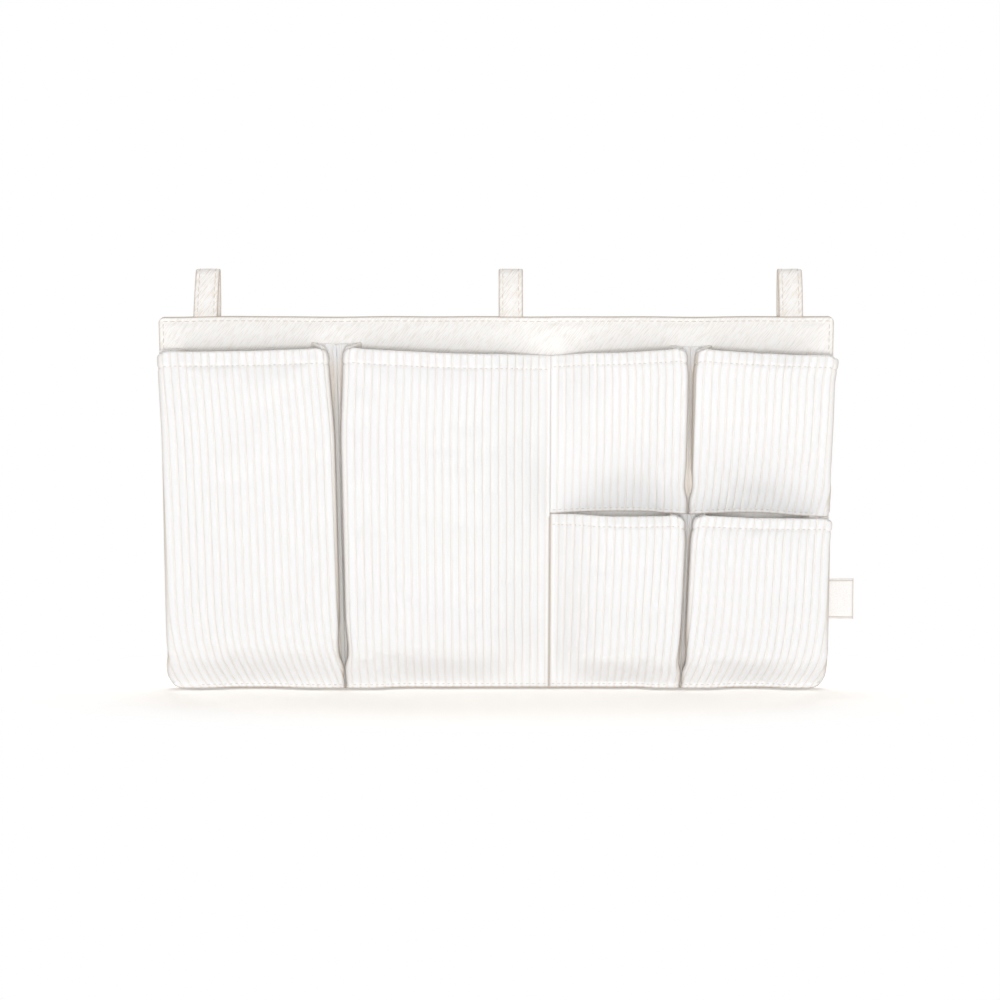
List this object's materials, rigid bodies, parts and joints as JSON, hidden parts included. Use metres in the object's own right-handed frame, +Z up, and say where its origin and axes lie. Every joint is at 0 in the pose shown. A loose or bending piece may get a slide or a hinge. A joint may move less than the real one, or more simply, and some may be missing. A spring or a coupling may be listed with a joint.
{
  "type": "bedside caddy",
  "caption": "Hanging cloth bedside caddy: a padded panel on hook-and-loop strap loops, with pleated ribbed pockets on its front.",
  "frame": {"origin": "on the line where the rail bears, inside the strap crests, above the middle of the panel", "axes": "+X to the right seen from the front, along the panel's width; -Y towards the viewer, out of the pockets; +Z up"},
  "size_m": [0.434, 0.0418, 0.2634],
  "materials": {
    "cream_twill": "matte cotton twill",
    "white_corduroy": "matte wide-rib corduroy",
    "wadding": "matte fibre wadding",
    "woven_label": "fine woven tape",
    "fastener_tape": "matte hook-and-loop tape"
  },
  "bodies": {
    "caddy": {"front_panel": "cream_twill", "back_panel": "cream_twill", "padding_core": "wadding", "side_label": "woven_label", "strap_left": "cream_twill", "strap_middle": "cream_twill", "strap_right": "cream_twill", "loop_tape_left": "fastener_tape", "loop_tape_middle": "fastener_tape", "loop_tape_right": "fastener_tape", "pocket_tall_left": "white_corduroy", "pocket_tall_middle": "white_corduroy", "pocket_upper_inner": "white_corduroy", "pocket_upper_outer": "white_corduroy", "pocket_lower_inner": "white_corduroy", "pocket_lower_outer": "white_corduroy"},
    "tail_left": {"strap_tail_left": "cream_twill", "hook_tape_left": "fastener_tape"},
    "tail_middle": {"strap_tail_middle": "cream_twill", "hook_tape_middle": "fastener_tape"},
    "tail_right": {"strap_tail_right": "cream_twill", "hook_tape_right": "fastener_tape"}
  },
  "joints": [
    {"name": "strap_left_open", "type": "hinge", "parent": "caddy", "child": "tail_left", "pos_m": [-0.1791, 0.00135, 0.0018], "axis": [1, 0, 0], "range_deg": [0, 150]},
    {"name": "strap_middle_open", "type": "hinge", "parent": "caddy", "child": "tail_middle", "pos_m": [0.009, 0.00135, 0.0018], "axis": [1, 0, 0], "range_deg": [0, 150]},
    {"name": "strap_right_open", "type": "hinge", "parent": "caddy", "child": "tail_right", "pos_m": [0.1822, 0.00135, 0.0018], "axis": [1, 0, 0], "range_deg": [0, 150]}
  ]
}
